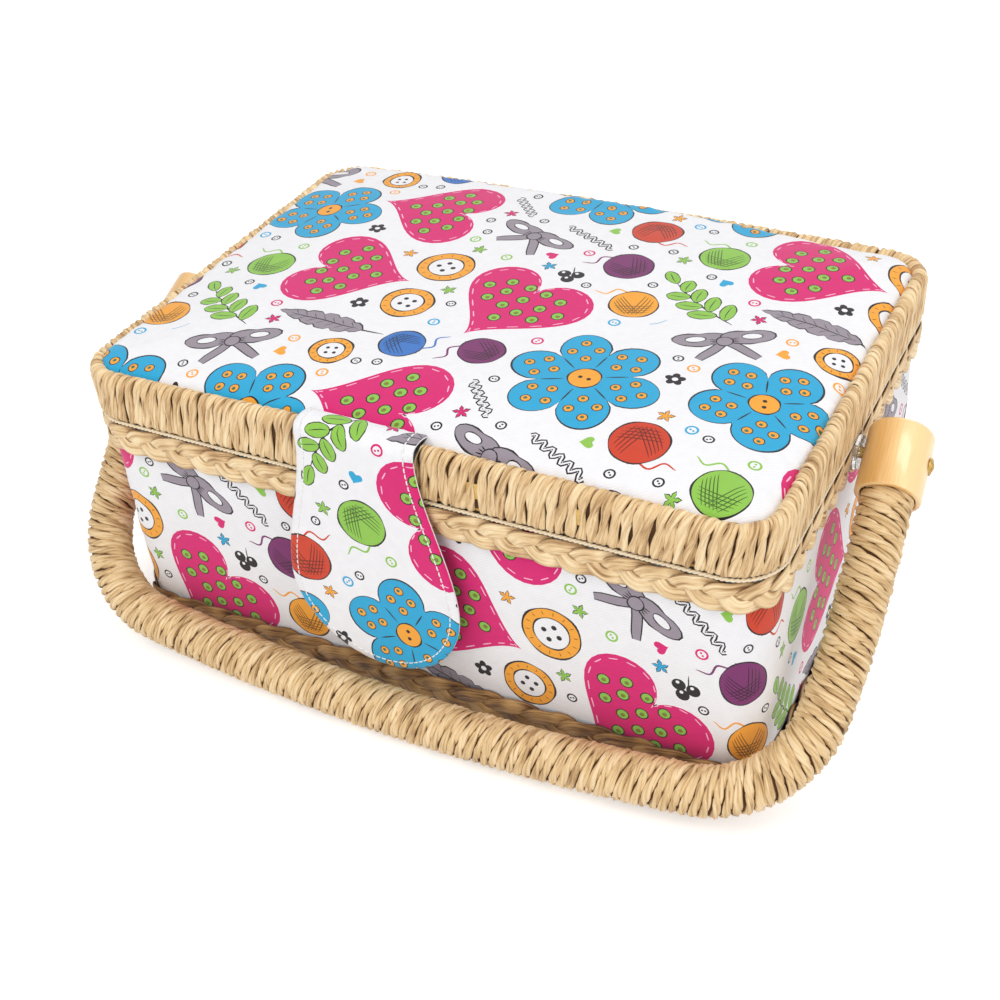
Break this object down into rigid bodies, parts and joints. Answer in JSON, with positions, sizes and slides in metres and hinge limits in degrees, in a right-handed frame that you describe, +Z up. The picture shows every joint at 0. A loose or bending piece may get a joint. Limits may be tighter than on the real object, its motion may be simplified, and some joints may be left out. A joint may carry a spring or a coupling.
{
  "type": "sewing basket",
  "caption": "Cloth-covered box with a padded hinged lid, a hanging tab, straw bands and a raffia-wound swinging handle for sewing things.",
  "frame": {"origin": "centre of the box's underside, on the surface it stands on", "axes": "+Z up, -Y towards the front where the tab hangs and the handle lies, +X to the right along the lid's long side"},
  "size_m": [0.3128, 0.2065, 0.1192],
  "materials": {
    "straw": "twisted raffia and flat straw plait, satin",
    "dark_straw": "flat straw plait, toasted brown, matt",
    "handle_straw": "twisted raffia wound in a close spiral, satin",
    "printed_cloth": "white cotton twill with a small bright print",
    "plain_cloth": "plain off-white cotton",
    "card": "grey-brown board, matt",
    "foam": "soft open foam",
    "wood": "plain unfinished wood",
    "sleeve_wood": "pale turned wood with long tone bands, satin varnish",
    "brass": "aged brass",
    "steel": "plated steel",
    "clear_plastic": "clear plastic"
  },
  "bodies": {
    "basket": {"base_cover": "plain_cloth", "base_board": "card", "base_pad": "plain_cloth", "body_wall": "card", "body_cover": "printed_cloth", "body_lining": "plain_cloth", "top_braid": "straw", "base_braid": "dark_straw", "rim_piping": "plain_cloth", "hinge_strip_body": "printed_cloth", "snap_stud": "steel", "bolt_left": "brass", "bolt_right": "brass", "spacer_left": "clear_plastic", "spacer_right": "clear_plastic", "washer_left": "steel", "washer_right": "steel", "nut_left": "steel", "nut_right": "steel"},
    "lid": {"lid_frame": "wood", "lid_rim_wrap": "straw", "lid_board": "card", "lid_cover": "printed_cloth", "lid_foam": "foam", "lid_lining": "plain_cloth", "hinge_strip_lid": "printed_cloth", "tab_root": "printed_cloth"},
    "tab": {"tab_flap": "printed_cloth", "snap_socket": "steel"},
    "handle": {"handle_core": "wood", "handle_wrap": "handle_straw", "sleeve_left": "sleeve_wood", "sleeve_right": "sleeve_wood"}
  },
  "joints": [
    {"name": "lid_hinge", "type": "hinge", "parent": "basket", "child": "lid", "pos_m": [0, 0.092, 0.0955], "axis": [-1, 0, 0], "range_deg": [0, 105]},
    {"name": "tab_fold", "type": "hinge", "parent": "lid", "child": "tab", "pos_m": [-0.01, -0.0938, 0.112], "axis": [-1, 0, 0], "range_deg": [0, 100]},
    {"name": "handle_swing", "type": "hinge", "parent": "basket", "child": "handle", "pos_m": [0, -0.00765, 0.0905], "axis": [-1, 0, 0], "range_deg": [0, 248]}
  ]
}
